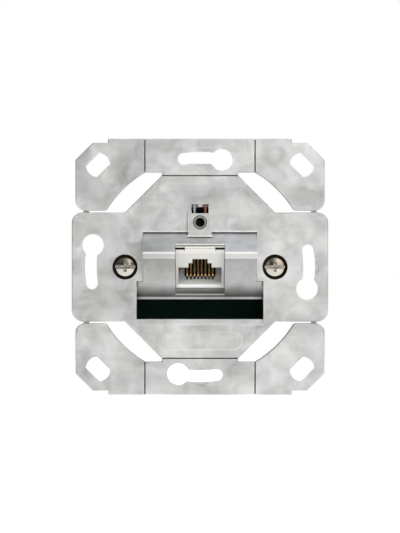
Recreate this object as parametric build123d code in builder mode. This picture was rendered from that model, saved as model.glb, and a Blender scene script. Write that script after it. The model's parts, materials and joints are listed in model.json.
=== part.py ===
from build123d import *
import os
from math import cos, radians, sin, sqrt, tan

# Flush-mounted shielded data socket insert for a round wall box of 60 mm.
# X points right and Z up as seen from the room, and the room side is -Y.
# The origin is the centre of the support frame's rear face, which lies on the wall.

# Support frame, a flat casting that reaches past the circle of the wall box screws
box_screw_circle = 60.0
frame_margin = 5.15
plate_thickness = 1.8
edge_bevel = 0.3
band_height = 29.9
band_corner_radius = 2.95
octagon_across = 50.2
octagon_height = 50.06
strip_width = 30.2
strip_step = 0.9
corner_inset = 0.99
corner_step_inset = 9.95
corner_step = 1.1
corner_chamfer = 4.75
corner_gap = 0.52
corner_arc_radius = 30.0
corner_outer_radius = 2.6
corner_inner_radius = 1.0
web_inset = 2.93
web_width = 1.55
web_thickness = 0.9
web_bite = 0.5
groove_width = 0.45
groove_depth = 0.45
groove_overrun = 0.5
notch_depth = 0.25

# Keyholes for the wall box screws, and the holes in the corner plates
keyhole_count = 4
keyhole_diameter = 6.0
keyhole_angle = 11.5
slot_width = 3.3
slot_end_angle = 8.6
spot_diameter = 5.6
spot_depth = 0.5
corner_hole_inset = 7.15
corner_count = 4
corner_hole_diameter = 6.7
corner_hole_flats = 4.4

# Window, well and the lug of the cover plate screw
window_width = 31.3
window_top = 9.6
window_bevel = 0.25
well_width = 34.8
well_bottom = -14.35
well_bevel_height = 1.55
well_bevel_depth = 1.2
lug_width = 6.4
lug_drop = 1.3
lug_overlap = 0.6
lug_rise = 1.2
lug_foot_width = 6.95
lug_foot_height = 0.5
cover_hole_drop = 2.45
cover_hole_diameter = 2.4
cover_hole_bevel = 0.35
cover_hole_collar = 3.2
cover_hole_sink = 3.9
cover_hole_sink_depth = 0.8
peep_width = 4.7
peep_height = 2.6
peep_drop = 0.75
pad_width = 23.0
pad_height = 4.9
pad_z = -20.25
pad_rise = 0.15

# Screws that hold the housing to the frame
frame_screw_x = 20.55
frame_screw_sink = 6.95
frame_screw_sink_depth = 2.2
frame_boss_width = 8.6
frame_boss_height = 1.5
screw_hole_diameter = 3.3
screw_head_diameter = 5.5
screw_head_height = 1.9
screw_shank_diameter = 2.96
screw_length = 6.0
screw_head_bevel = 0.55
slot_cut_width = 0.95
slot_cut_length = 4.7
slot_cut_depth = 0.9
cross_cut_length = 3.2
thread_clearance = 0.02

# Hood of the front shell; its sloped face is square to the jack's axis
jack_tilt = 42.0
slope_cross_z = -3.85
ridge_band_bottom = 2.2
ridge_top = 4.0
slope_bottom = -8.1
lip_height = 0.8
lip_width = 33.8
hood_wall = 1.2
hood_clearance = 0.15
roof_clearance = 0.05
ridge_round = 0.4

# Tray of the front shell and rear cover
tray_width = 39.0
tray_height = 36.0
tray_depth = 16.5
tray_wall = 1.5
tray_corner_radius = 3.0
shell_boss_width = 8.0
shell_boss_depth = 6.5
rib_height = 0.9
rebate_depth = 1.5
rebate_wall = 0.7
rebate_clearance = 0.1
cover_depth = 12.5
cover_chamfer = 1.6
cover_screw_inset_x = 4.2
cover_screw_inset_z = 5.1
cover_post_width = 5.2
cover_screw_diameter = 2.46
cover_screw_hole = 2.8
cover_screw_head = 4.4
cover_screw_head_height = 1.5
cover_screw_grip = 7.0
peep_clearance = 0.3
latch_x = 9.0
latch_tongue_width = 6.5
latch_tongue_sheet = 0.9
latch_tongue_start = 8.0
latch_tongue_root = 3.0
latch_nub_width = 3.6
latch_nub_depth = 1.5
latch_nub_y = 9.6
latch_nub_height = 0.7
latch_clearance = 0.15

# Jack
jack_width = 13.4
flange_height = 14.63
flange_thickness = 1.9
face_recess = 2.7
jack_depth = 13.0
jack_clearance = 0.1
body_wall = 0.35
plug_width = 11.9
plug_height = 6.75
plug_depth = 11.9
plug_floor = 0.95
step_width = 6.36
step_height = 1.6
latch_width = 4.16
latch_height = 1.5
face_bevel_height = 1.7
face_bevel_depth = 0.3
tab_width = 8.3
tab_slit_width = 0.25
tab_slit_drop = 0.9
tab_slit_depth = 0.8
shoulder_drop = 0.42
pocket_depth = 1.5
pocket_lip_sheet = 0.3
pocket_lip_setback = 0.67
flange_groove_width = 0.45
flange_groove_depth = 0.35
mouth_bevel = 0.3
aperture_bevel = 0.2
shield_sheet = 0.3
shield_clearance = 0.03
shield_skirt = 0.6
shield_back_rise = 3.4
tongue_rise = 3.0
tongue_width = 2.4
tongue_start = 2.6
tongue_length = 6.2
tongue_bulge = 0.75
comb_width = 8.6
comb_start = 3.75
wire_slot_start = 2.65
comb_depth = 2.8
comb_end = 11.8
comb_clearance = 0.05
comb_drop = 0.15

# Contacts
contact_count = 8
contact_pitch = 1.016
contact_width = 0.4
contact_sheet = 0.3
contact_play = 0.06
contact_lower_run = 1.6
contact_bend = 0.5
contact_front = 4.1
contact_foot = 0.2
contact_rise = 3.1
contact_reach = 11.2
contact_tail = 12.4

# Circuit board and terminal blocks
board_front = 14.6
board_thickness = 1.6
board_clearance = 0.2
board_corner = 1.0
block_x = 10.6
block_width = 7.4
block_depth = 9.0
block_foot = 4.4
block_top_gap = 0.7
block_end_wall = 1.3
block_slot_count = 4
block_slot_width = 1.1
block_slot_depth = 6.5
terminal_sheet = 0.5
terminal_web = 1.0
terminal_length = 7.0
terminal_gap = 0.35
terminal_mouth = 1.4
terminal_mouth_depth = 3.2

# Cable entry and its clamp
cable_diameter = 8.4
cable_y = 23.2
bay_width = 23.0
bay_height = 9.4
bay_shelf_y = 21.4
bay_shelf_depth = 4.4
clamp_length = 5.6
clamp_wall = 1.4
clamp_side = 0.6
clamp_screw_x = 8.4
clamp_screw_diameter = 2.46
clamp_screw_head = 4.2
clamp_screw_head_height = 1.4
clamp_screw_grip = 3.6

# Earth clip behind the small window
clip_sheet = 0.4
clip_width = 3.6
clip_leg_width = 0.6
clip_bar_height = 0.7
clip_leg_gap = 0.15
clip_foot = 4.6
clip_pocket_depth = 0.9
clip_clearance = 0.05
clip_dimple_radius = 0.62
clip_dimple_drop = 0.8
clip_dimple_rise = 0.35

half_turn = 180.0
tilt = radians(jack_tilt)
frame_width = box_screw_circle + 2 * frame_margin
half_width = frame_width / 2
half_band = band_height / 2
octagon_sum = octagon_across / sqrt(2)
shoulder_x = octagon_sum - half_band
half_octagon = octagon_height / 2
neck_x = octagon_sum - half_octagon
strip_x = strip_width / 2
strip_inner = half_octagon + strip_step
strip_height = half_width - strip_inner
corner_x = half_width - corner_inset
corner_top = half_width - corner_step
corner_bottom = half_band + corner_gap
corner_step_x = half_width - corner_step_inset
corner_hole_offset = half_width - corner_hole_inset
web_x = corner_x - web_inset
frame_front = -plate_thickness
window_x = window_width / 2
well_x = well_width / 2
hood_x = window_x - hood_clearance
lip_x = lip_width / 2
lip_bottom = slope_bottom - lip_height
cover_back = tray_depth + cover_depth
tray_x = tray_width / 2
tray_z = tray_height / 2
peep_top = tray_z - peep_drop
peep_bottom = peep_top - peep_height
cover_hole_z = peep_bottom - cover_hole_drop
lug_top = peep_bottom + lug_overlap
lug_bottom = window_top - lug_drop
cover_screw_x = tray_x - cover_screw_inset_x
cover_screw_z = tray_z - cover_screw_inset_z
bay_floor_z = tray_z - bay_height
board_back = board_front + board_thickness
block_top = bay_floor_z - tray_wall - block_top_gap
block_bottom = block_foot - tray_z
block_height = block_top - block_bottom
block_z = (block_top + block_bottom) / 2
block_slot_pitch = (block_height + terminal_web - 2 * block_end_wall) / block_slot_count
terminal_width = block_slot_pitch - terminal_web


def slope_y(z):
    """Depth of the hood's sloped face at a height."""
    return frame_front - (z - slope_cross_z) * tan(tilt)


def roof_y(z):
    """Depth of the hood's roof at a height; the roof runs along the jack's axis."""
    return slope_y(ridge_band_bottom) + (z - ridge_top) / tan(tilt)


def roof_z(y):
    """Height of the hood's roof at a depth."""
    return ridge_top + (y - slope_y(ridge_band_bottom)) * tan(tilt)


def room_plane(y):
    """Plane at a depth that looks into the room, drawn with X right and Z up."""
    return Plane.XZ.offset(-y)


# The jack's plane lies on the front of its flange, whose top is flush with the hood's roof.
slope_plane = Plane(origin=(0, frame_front, slope_cross_z), x_dir=(1, 0, 0),
                    z_dir=(0, -cos(tilt), -sin(tilt)))
roof_point = slope_plane.to_local_coords(Vector(0, slope_y(ridge_band_bottom), ridge_top))
flange_center = roof_point.Y - flange_height / 2
jack_origin = slope_plane.from_local_coords((0, flange_center, -face_recess))
jack_plane = Plane(origin=jack_origin, x_dir=slope_plane.x_dir, z_dir=slope_plane.z_dir)
flange_top = flange_height / 2
body_top = flange_top - hood_wall - shield_sheet - jack_clearance
plug_bottom = -flange_top + plug_floor
body_x = plug_width / 2 + body_wall


def jack_depth_plane(depth):
    """Plane square to the jack's axis, at a depth behind the front of its flange."""
    return jack_plane.offset(-depth)


def jack_side_plane(x):
    """Plane along the jack's axis, drawn with depth to the right and the jack's up as up."""
    origin = jack_plane.from_local_coords((x, 0, 0))
    return Plane(origin=origin, x_dir=-jack_plane.z_dir, z_dir=(1, 0, 0))


def make_screw(seat, head_diameter, head_height, shank_diameter, length):
    """Pan head screw with a slot and a cross; its head stands on the seat."""
    share = head_diameter / screw_head_diameter
    with BuildPart() as screw:
        with BuildSketch(seat):
            Circle(head_diameter / 2)
        extrude(amount=head_height)
        rim = [edge for edge in screw.edges().filter_by(GeomType.CIRCLE)
               if seat.to_local_coords(edge.center()).Z > head_height / 2]
        chamfer(rim, screw_head_bevel * share)
        with BuildSketch(seat):
            Circle(shank_diameter / 2)
        extrude(amount=-length)
        with BuildSketch(seat.offset(head_height)):
            Rectangle(slot_cut_length * share, slot_cut_width * share)
            Rectangle(slot_cut_width * share, cross_cut_length * share)
        extrude(amount=-slot_cut_depth * share, mode=Mode.SUBTRACT)
    return screw


os.makedirs("parts", exist_ok=True)

# One corner plate, drawn in the upper right and mirrored to the other three
with BuildSketch() as corner_plates:
    with BuildLine():
        Polyline(
            (strip_x, half_width),
            (corner_step_x, half_width),
            (corner_step_x, corner_top),
            (corner_x - corner_chamfer, corner_top),
            (corner_x, corner_top - corner_chamfer),
            (corner_x, corner_bottom),
            (strip_x, corner_bottom),
            close=True,
        )
    make_face()
    Circle(corner_arc_radius, mode=Mode.SUBTRACT)
    arc_foot = (sqrt(corner_arc_radius**2 - corner_bottom**2), corner_bottom)
    fillet(corner_plates.vertices().sort_by_distance(arc_foot)[0], corner_inner_radius)
    fillet(corner_plates.vertices().sort_by_distance((corner_x, corner_bottom))[0], corner_outer_radius)
    mirror(about=Plane.XZ)
    mirror(about=Plane.YZ)

with BuildSketch() as corner_hole:
    Circle(corner_hole_diameter / 2)
    Rectangle(corner_hole_flats, corner_hole_diameter, mode=Mode.INTERSECT)

with BuildLine() as slot_route:
    CenterArc((0, 0), box_screw_circle / 2, -keyhole_angle, keyhole_angle + slot_end_angle)

with BuildPart() as support_frame:
    with BuildSketch(Plane.XZ):
        RectangleRounded(frame_width, band_height, band_corner_radius)
        with BuildLine():
            Polyline(
                (neck_x, half_octagon),
                (shoulder_x, half_band),
                (shoulder_x, -half_band),
                (neck_x, -half_octagon),
                (-neck_x, -half_octagon),
                (-shoulder_x, -half_band),
                (-shoulder_x, half_band),
                (-neck_x, half_octagon),
                close=True,
            )
        make_face()
        Rectangle(2 * neck_x, 2 * (strip_inner + web_bite))
        with GridLocations(0, 2 * strip_inner + strip_height, 1, 2):
            Rectangle(strip_width, strip_height)
        add(corner_plates.sketch)
    extrude(amount=plate_thickness)
    chamfer(support_frame.faces().sort_by(Axis.Y)[0].outer_wire().edges(), edge_bevel)
    with BuildSketch(Plane.XZ):
        with GridLocations(2 * web_x, 2 * half_band + corner_gap, 2, 2):
            Rectangle(web_width, corner_gap + 2 * web_bite)
    extrude(amount=web_thickness)

    # Bosses behind the plate, the lug and the low pad in front
    with BuildSketch(Plane.XZ):
        with GridLocations(2 * frame_screw_x, 0, 2, 1):
            Rectangle(frame_boss_width, frame_boss_width)
    extrude(amount=-frame_boss_height)
    with BuildSketch(room_plane(frame_front)):
        with Locations((0, pad_z)):
            SlotOverall(pad_width, pad_height)
    extrude(amount=pad_rise)

    # Window for the hood and the well under it
    with BuildSketch(Plane.XZ):
        with Locations((0, (window_top + well_bottom) / 2)):
            Rectangle(window_width, window_top - well_bottom)
        with Locations((0, (slope_cross_z + well_bottom) / 2)):
            Rectangle(well_width, slope_cross_z - well_bottom)
    extrude(amount=plate_thickness, mode=Mode.SUBTRACT)
    with BuildSketch(Plane.YZ):
        Polygon(
            (frame_front, window_top),
            (frame_front + window_bevel, window_top),
            (frame_front, window_top + window_bevel),
            align=None,
        )
    extrude(amount=window_x, both=True, mode=Mode.SUBTRACT)
    with BuildSketch(Plane.YZ):
        Polygon(
            (frame_front, well_bottom),
            (frame_front + well_bevel_depth, well_bottom),
            (frame_front, well_bottom - well_bevel_height),
            align=None,
        )
    extrude(amount=well_x, both=True, mode=Mode.SUBTRACT)

    # Lug over the window's top edge, undercut along the hood's roof
    with BuildSketch(Plane.XZ):
        with Locations((0, (lug_top + lug_bottom) / 2)):
            Rectangle(lug_width, lug_top - lug_bottom)
        with Locations((0, lug_bottom)):
            Rectangle(lug_foot_width, lug_foot_height, align=(Align.CENTER, Align.MIN))
    extrude(amount=plate_thickness + lug_rise)
    roof_gap = roof_clearance / cos(tilt)
    with BuildSketch(Plane.YZ):
        Polygon(
            (roof_y(lug_bottom - roof_gap), lug_bottom),
            (0, roof_z(0) + roof_gap),
            (0, lug_bottom),
            align=None,
        )
    extrude(amount=window_x, both=True, mode=Mode.SUBTRACT)

    # Small window, threaded hole and the sunk seats of the frame screws
    with BuildSketch(Plane.XZ):
        with Locations((0, (peep_top + peep_bottom) / 2)):
            Rectangle(peep_width, peep_top - peep_bottom)
        with Locations((0, cover_hole_z)):
            Circle(cover_hole_diameter / 2)
        with GridLocations(2 * frame_screw_x, 0, 2, 1):
            Circle(screw_hole_diameter / 2)
    extrude(amount=plate_thickness + lug_rise, mode=Mode.SUBTRACT)
    with BuildSketch(Plane.XZ):
        with GridLocations(2 * frame_screw_x, 0, 2, 1):
            Circle(screw_hole_diameter / 2)
    extrude(amount=-frame_boss_height, mode=Mode.SUBTRACT)
    with BuildSketch(room_plane(frame_front)):
        with GridLocations(2 * frame_screw_x, 0, 2, 1):
            Circle(frame_screw_sink / 2)
    extrude(amount=-frame_screw_sink_depth, mode=Mode.SUBTRACT)
    with BuildSketch(room_plane(frame_front - lug_rise)):
        with Locations((0, cover_hole_z)):
            Circle(cover_hole_sink / 2)
            Circle(cover_hole_collar / 2, mode=Mode.SUBTRACT)
    extrude(amount=-cover_hole_sink_depth, mode=Mode.SUBTRACT)
    hole_front = (0, frame_front - lug_rise, cover_hole_z)
    hole_rim = support_frame.edges().filter_by(GeomType.CIRCLE).sort_by_distance(hole_front)[0]
    chamfer(hole_rim, cover_hole_bevel)

    # Keyholes in a ring, each with a shallow spot at its screw position
    with BuildSketch(Plane.XZ):
        with PolarLocations(0, keyhole_count):
            SlotArc(slot_route.wire(), slot_width)
        with PolarLocations(box_screw_circle / 2, keyhole_count, start_angle=-keyhole_angle):
            Circle(keyhole_diameter / 2)
        with PolarLocations(corner_hole_offset * sqrt(2), corner_count,
                            start_angle=half_turn / corner_count):
            add(corner_hole.sketch)
    extrude(amount=plate_thickness, mode=Mode.SUBTRACT)
    with BuildSketch(room_plane(frame_front)):
        with PolarLocations(box_screw_circle / 2, keyhole_count):
            Circle(spot_diameter / 2)
    extrude(amount=-spot_depth, mode=Mode.SUBTRACT)

    # Breaking grooves, with a small notch where they leave the outer edge
    with BuildSketch(Plane.YZ):
        with GridLocations(0, 2 * half_octagon, 1, 2):
            Polygon(
                (frame_front, -groove_width / 2),
                (frame_front, groove_width / 2),
                (frame_front + groove_depth, 0),
                align=None,
            )
    extrude(amount=neck_x + groove_overrun, both=True, mode=Mode.SUBTRACT)
    for side in (1, -1):
        with BuildSketch(Plane.XY.offset(side * (strip_inner - groove_overrun))):
            with GridLocations(2 * strip_x, 0, 2, 1):
                Polygon(
                    (-groove_width / 2, frame_front),
                    (groove_width / 2, frame_front),
                    (0, frame_front + groove_depth),
                    align=None,
                )
        extrude(amount=side * (strip_height + 2 * groove_overrun), mode=Mode.SUBTRACT)
        with BuildSketch(Plane.XZ):
            with GridLocations(2 * strip_x, 0, 2, 1):
                Polygon(
                    (-groove_width / 2, side * half_width),
                    (groove_width / 2, side * half_width),
                    (0, side * (half_width - notch_depth)),
                    align=None,
                )
        extrude(amount=plate_thickness, mode=Mode.SUBTRACT)
support_frame.part.label = "support_frame"
export_step(support_frame.part, "parts/support_frame.step")

# Hollow of the hood, which leaves a collar round the jack's flange
collar_x = jack_width / 2 + jack_clearance + hood_wall
collar_bottom = -flange_top - jack_clearance - hood_wall
ridge_y = slope_y(ridge_band_bottom)
wall_z = hood_wall / cos(tilt)
with BuildPart() as hood_hollow:
    with BuildSketch(Plane.YZ):
        Polygon(
            (ridge_y + hood_wall, roof_z(ridge_y + hood_wall) - wall_z),
            (ridge_y + hood_wall, ridge_band_bottom + (wall_z - hood_wall) / tan(tilt)),
            (slope_y(lip_bottom + hood_wall) + wall_z, lip_bottom + hood_wall),
            (tray_depth, lip_bottom + hood_wall),
            (tray_depth, tray_z - tray_wall),
            (tray_wall, tray_z - tray_wall),
            (tray_wall, roof_z(tray_wall) - wall_z),
            align=None,
        )
    extrude(amount=hood_x - hood_wall, both=True)
    with BuildSketch(jack_depth_plane(-face_recess)):
        with Locations((0, collar_bottom)):
            Rectangle(2 * collar_x, flange_top - collar_bottom, align=(Align.CENTER, Align.MIN))
    extrude(amount=-face_recess - flange_thickness - jack_clearance, mode=Mode.SUBTRACT)

with BuildPart() as front_shell:
    # Tray behind the plate, open at the back
    with BuildSketch(Plane.XZ):
        RectangleRounded(tray_width, tray_height, tray_corner_radius)
    extrude(amount=-tray_depth)
    with BuildSketch(room_plane(tray_wall)):
        RectangleRounded(tray_width - 2 * tray_wall, tray_height - 2 * tray_wall,
                         tray_corner_radius - tray_wall)
    extrude(amount=tray_wall - tray_depth, mode=Mode.SUBTRACT)
    with BuildSketch(room_plane(tray_depth)):
        RectangleRounded(tray_width, tray_height, tray_corner_radius)
        RectangleRounded(tray_width - 2 * rebate_wall, tray_height - 2 * rebate_wall,
                         tray_corner_radius - rebate_wall, mode=Mode.SUBTRACT)
    extrude(amount=rebate_depth, mode=Mode.SUBTRACT)

    # Hood that comes through the window, wider where it lies behind the plate's front
    hood_back = slope_y(slope_bottom) + hood_wall
    with BuildSketch(Plane.YZ) as hood_profile:
        Polygon(
            (ridge_y, ridge_top),
            (ridge_y, ridge_band_bottom),
            (slope_y(slope_bottom), slope_bottom),
            (slope_y(slope_bottom), lip_bottom),
            (hood_back, lip_bottom),
            (hood_back, roof_z(hood_back)),
            align=None,
        )
        fillet(hood_profile.vertices().sort_by_distance((ridge_y, ridge_top))[0], ridge_round)
    extrude(amount=lip_x, both=True)
    with BuildSketch(Plane.XZ):
        with Locations((hood_x, slope_cross_z - hood_clearance)):
            Rectangle(lip_x - hood_x, roof_z(hood_clearance) + hood_clearance - slope_cross_z,
                      align=Align.MIN)
        mirror(about=Plane.YZ)
    extrude(amount=-ridge_y, mode=Mode.SUBTRACT)

    # Collar round the flange, which reaches further back than the hood, and the hollow round it
    with BuildSketch(jack_depth_plane(-face_recess / 2)):
        with Locations((0, collar_bottom)):
            Rectangle(2 * collar_x, flange_top - collar_bottom, align=(Align.CENTER, Align.MIN))
    extrude(amount=-face_recess / 2 - flange_thickness - jack_clearance)
    add(hood_hollow.part, mode=Mode.SUBTRACT)

    # Well under the hood, the shelf that closes the jack's chamber and the board's rib
    inner_bottom = tray_wall - tray_z
    with BuildSketch(Plane.YZ):
        Polygon(
            (frame_front, slope_cross_z),
            (slope_y(slope_bottom), slope_bottom),
            (slope_y(slope_bottom), lip_bottom),
            (board_front, lip_bottom),
            (board_front, inner_bottom + rib_height),
            (frame_front, inner_bottom + rib_height),
            align=None,
        )
    extrude(amount=well_x + hood_clearance, both=True, mode=Mode.SUBTRACT)
    with BuildSketch(room_plane(board_front - board_clearance)):
        with Locations((0, lip_bottom)):
            Rectangle(tray_width - 2 * tray_wall, hood_wall, align=(Align.CENTER, Align.MIN))
    extrude(amount=board_front - board_clearance - hood_back)
    with BuildSketch(room_plane(board_front)):
        with Locations((0, inner_bottom)):
            Rectangle(tray_width - 2 * tray_wall, rib_height, align=(Align.CENTER, Align.MIN))
    extrude(amount=board_front - tray_wall)

    # Seat of the jack: the flange lies in the collar, flush with the roof, the body behind it
    tunnel_bottom = -flange_top - jack_clearance
    with BuildSketch(jack_depth_plane(flange_thickness + jack_clearance)):
        with Locations((0, tunnel_bottom)):
            Rectangle(jack_width + 2 * jack_clearance, 2 * flange_height, align=(Align.CENTER, Align.MIN))
    extrude(amount=flange_height, mode=Mode.SUBTRACT)
    shield_x = body_x + shield_clearance + shield_sheet
    with BuildSketch(jack_depth_plane(0)):
        with Locations((0, tunnel_bottom)):
            Rectangle(2 * (shield_x + jack_clearance), flange_top - hood_wall - tunnel_bottom,
                      align=(Align.CENTER, Align.MIN))
    extrude(amount=-jack_depth - shield_sheet, mode=Mode.SUBTRACT)
    with BuildSketch(jack_side_plane(0)):
        Polygon(
            (-face_recess, tunnel_bottom - aperture_bevel),
            (-face_recess, tunnel_bottom),
            (aperture_bevel - face_recess, tunnel_bottom),
            align=None,
        )
    extrude(amount=jack_width / 2 + jack_clearance, both=True, mode=Mode.SUBTRACT)

    # Screw bosses at the sides, with room for the frame's own bosses in front of them
    with BuildSketch(room_plane(frame_boss_height)):
        with GridLocations(2 * frame_screw_x, 0, 2, 1):
            Rectangle(shell_boss_width, shell_boss_width)
    extrude(amount=-shell_boss_depth)
    with BuildSketch(Plane.XZ):
        with GridLocations(2 * frame_screw_x, 0, 2, 1):
            Rectangle(frame_boss_width + 2 * hood_clearance, frame_boss_width + 2 * hood_clearance)
    extrude(amount=-frame_boss_height, mode=Mode.SUBTRACT)
    with BuildSketch(room_plane(frame_boss_height)):
        with GridLocations(2 * frame_screw_x, 0, 2, 1):
            Circle(screw_shank_diameter / 2 + thread_clearance)
    extrude(amount=-shell_boss_depth, mode=Mode.SUBTRACT)

    # Posts that carry the board's upper corners and take the cover screws
    with BuildSketch(room_plane(board_front)):
        with Locations((cover_screw_x, cover_screw_z), (-cover_screw_x, cover_screw_z)):
            Rectangle(cover_post_width, cover_post_width)
    extrude(amount=board_front - tray_wall)
    with BuildSketch(room_plane(board_front)):
        with Locations((cover_screw_x, cover_screw_z), (-cover_screw_x, cover_screw_z)):
            Circle(cover_screw_diameter / 2 + thread_clearance)
    extrude(amount=cover_screw_grip, mode=Mode.SUBTRACT)

    # Openings behind the small window and the cover plate's screw, and the earth clip's pocket
    with BuildSketch(Plane.XZ):
        with Locations((0, cover_hole_z)):
            Circle(screw_hole_diameter / 2)
        with Locations((0, peep_bottom - peep_clearance)):
            Rectangle(peep_width + 2 * peep_clearance,
                      tray_z - clip_bar_height - peep_bottom + peep_clearance,
                      align=(Align.CENTER, Align.MIN))
    extrude(amount=-tray_wall, mode=Mode.SUBTRACT)
    with BuildSketch(Plane.XZ):
        with Locations((0, tray_z)):
            Rectangle(clip_width + 2 * clip_clearance, 2 * clip_bar_height)
    extrude(amount=-clip_pocket_depth, mode=Mode.SUBTRACT)

    # Nubs under the tray for the cover's latches
    with BuildSketch(Plane.XY.offset(-tray_z)):
        with GridLocations(2 * latch_x, 0, 2, 1):
            with Locations((0, latch_nub_y)):
                Rectangle(latch_nub_width, latch_nub_depth, align=(Align.CENTER, Align.MIN))
    extrude(amount=-latch_nub_height)
front_shell.part.label = "front_shell"
export_step(front_shell.part, "parts/front_shell.step")

with BuildPart() as rear_cover:
    # Box with a bevelled back, and the thin rim that closes round the tray
    with BuildSketch(room_plane(tray_depth)):
        RectangleRounded(tray_width, tray_height, tray_corner_radius)
    extrude(amount=-cover_depth)
    chamfer(rear_cover.faces().sort_by(Axis.Y)[-1].edges(), cover_chamfer)
    with BuildSketch(room_plane(tray_depth)):
        RectangleRounded(tray_width - 2 * tray_wall, tray_height - 2 * tray_wall,
                         tray_corner_radius - tray_wall)
    extrude(amount=tray_wall - cover_depth, mode=Mode.SUBTRACT)
    with BuildSketch(room_plane(tray_depth)):
        RectangleRounded(tray_width, tray_height, tray_corner_radius)
        rim_gap = rebate_wall - rebate_clearance
        RectangleRounded(tray_width - 2 * rim_gap, tray_height - 2 * rim_gap,
                         tray_corner_radius - rim_gap, mode=Mode.SUBTRACT)
    extrude(amount=rebate_depth - rebate_clearance)

    # Posts that press the board on the tray's posts
    with BuildSketch(room_plane(board_back)):
        with Locations((cover_screw_x, cover_screw_z), (-cover_screw_x, cover_screw_z)):
            Rectangle(cover_post_width, cover_post_width)
    extrude(amount=board_back - cover_back + tray_wall)

    # Bay for the cable entry: a thick shelf with a round trough that leads inside
    with BuildSketch(room_plane(cover_back - edge_bevel)):
        with Locations((0, bay_floor_z - tray_wall)):
            Rectangle(bay_width + 2 * tray_wall, tray_z - bay_floor_z, align=(Align.CENTER, Align.MIN))
    extrude(amount=cover_back - edge_bevel - bay_shelf_y + bay_shelf_depth)
    with BuildSketch(room_plane(bay_shelf_y)):
        with Locations((0, bay_floor_z)):
            Rectangle(bay_width, tray_height, align=(Align.CENTER, Align.MIN))
    extrude(amount=bay_shelf_y - cover_back, mode=Mode.SUBTRACT)
    with BuildSketch(Plane.XY.offset(bay_floor_z - 2 * tray_wall)):
        with Locations((0, cable_y)):
            Circle(cable_diameter / 2)
    extrude(amount=tray_height, mode=Mode.SUBTRACT)
    bay_middle = (bay_floor_z + tray_z) / 2
    with BuildSketch(room_plane(bay_shelf_y)):
        with Locations((clamp_screw_x, bay_middle), (-clamp_screw_x, bay_middle)):
            Circle(clamp_screw_diameter / 2 + thread_clearance)
    extrude(amount=clamp_screw_grip, mode=Mode.SUBTRACT)

    # Holes and sunk seats of the cover screws
    with BuildSketch(room_plane(cover_back)):
        with Locations((cover_screw_x, cover_screw_z), (-cover_screw_x, cover_screw_z)):
            Circle(cover_screw_hole / 2)
    extrude(amount=cover_back - board_back, mode=Mode.SUBTRACT)
    with BuildSketch(room_plane(cover_back)):
        with Locations((cover_screw_x, cover_screw_z), (-cover_screw_x, cover_screw_z)):
            Circle(cover_screw_head / 2 + rebate_clearance)
    extrude(amount=cover_screw_head_height, mode=Mode.SUBTRACT)

    # Latch tongues under the tray, each with a window round its nub
    tongue_z = -tray_z - rebate_clearance
    with BuildSketch(Plane.XY.offset(tongue_z)):
        with GridLocations(2 * latch_x, 0, 2, 1):
            with Locations((0, latch_tongue_start)):
                Rectangle(latch_tongue_width, tray_depth + latch_tongue_root - latch_tongue_start,
                          align=(Align.CENTER, Align.MIN))
    extrude(amount=-latch_tongue_sheet)
    with BuildSketch(Plane.XY.offset(-tray_z)):
        with GridLocations(2 * latch_x, 0, 2, 1):
            with Locations((0, tray_depth)):
                Rectangle(latch_tongue_width, latch_tongue_root, align=(Align.CENTER, Align.MIN))
    extrude(amount=-latch_tongue_sheet)
    with BuildSketch(Plane.XY.offset(tongue_z)):
        with GridLocations(2 * latch_x, 0, 2, 1):
            with Locations((0, latch_nub_y - latch_clearance)):
                Rectangle(latch_nub_width + 2 * latch_clearance, latch_nub_depth + 2 * latch_clearance,
                          align=(Align.CENTER, Align.MIN))
    extrude(amount=-latch_tongue_sheet, mode=Mode.SUBTRACT)
rear_cover.part.label = "rear_cover"
export_step(rear_cover.part, "parts/rear_cover.step")

with BuildPart() as cable_clamp:
    # Saddle over the cable, its feet on the bay's shelf
    with BuildSketch(Plane.XY.offset(bay_middle - clamp_length / 2)):
        with Locations((0, bay_shelf_y)):
            Rectangle(bay_width - 2 * clamp_side, cable_y - bay_shelf_y, align=(Align.CENTER, Align.MIN))
        with Locations((0, cable_y)):
            Circle(cable_diameter / 2 + clamp_wall)
        with Locations((0, bay_shelf_y)):
            Rectangle(bay_width, cable_diameter, align=(Align.CENTER, Align.MAX), mode=Mode.SUBTRACT)
        with Locations((0, cable_y)):
            Circle(cable_diameter / 2, mode=Mode.SUBTRACT)
            Rectangle(cable_diameter, cable_diameter, align=(Align.CENTER, Align.MAX), mode=Mode.SUBTRACT)
    extrude(amount=clamp_length)
    with BuildSketch(room_plane(bay_shelf_y)):
        with Locations((clamp_screw_x, bay_middle), (-clamp_screw_x, bay_middle)):
            Circle(cover_screw_hole / 2)
    extrude(amount=bay_shelf_y - cable_y, mode=Mode.SUBTRACT)
cable_clamp.part.label = "cable_clamp"
export_step(cable_clamp.part, "parts/cable_clamp.step")

with BuildPart() as circuit_board:
    with BuildSketch(room_plane(board_front)) as board_outline:
        Rectangle(tray_width - 2 * (tray_wall + board_clearance),
                  tray_height - 2 * (tray_wall + board_clearance))
        chamfer(board_outline.vertices(), board_corner)
        with Locations((cover_screw_x, cover_screw_z), (-cover_screw_x, cover_screw_z)):
            Circle(cover_screw_hole / 2, mode=Mode.SUBTRACT)
    extrude(amount=-board_thickness)
circuit_board.part.label = "circuit_board"
export_step(circuit_board.part, "parts/circuit_board.step")

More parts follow.
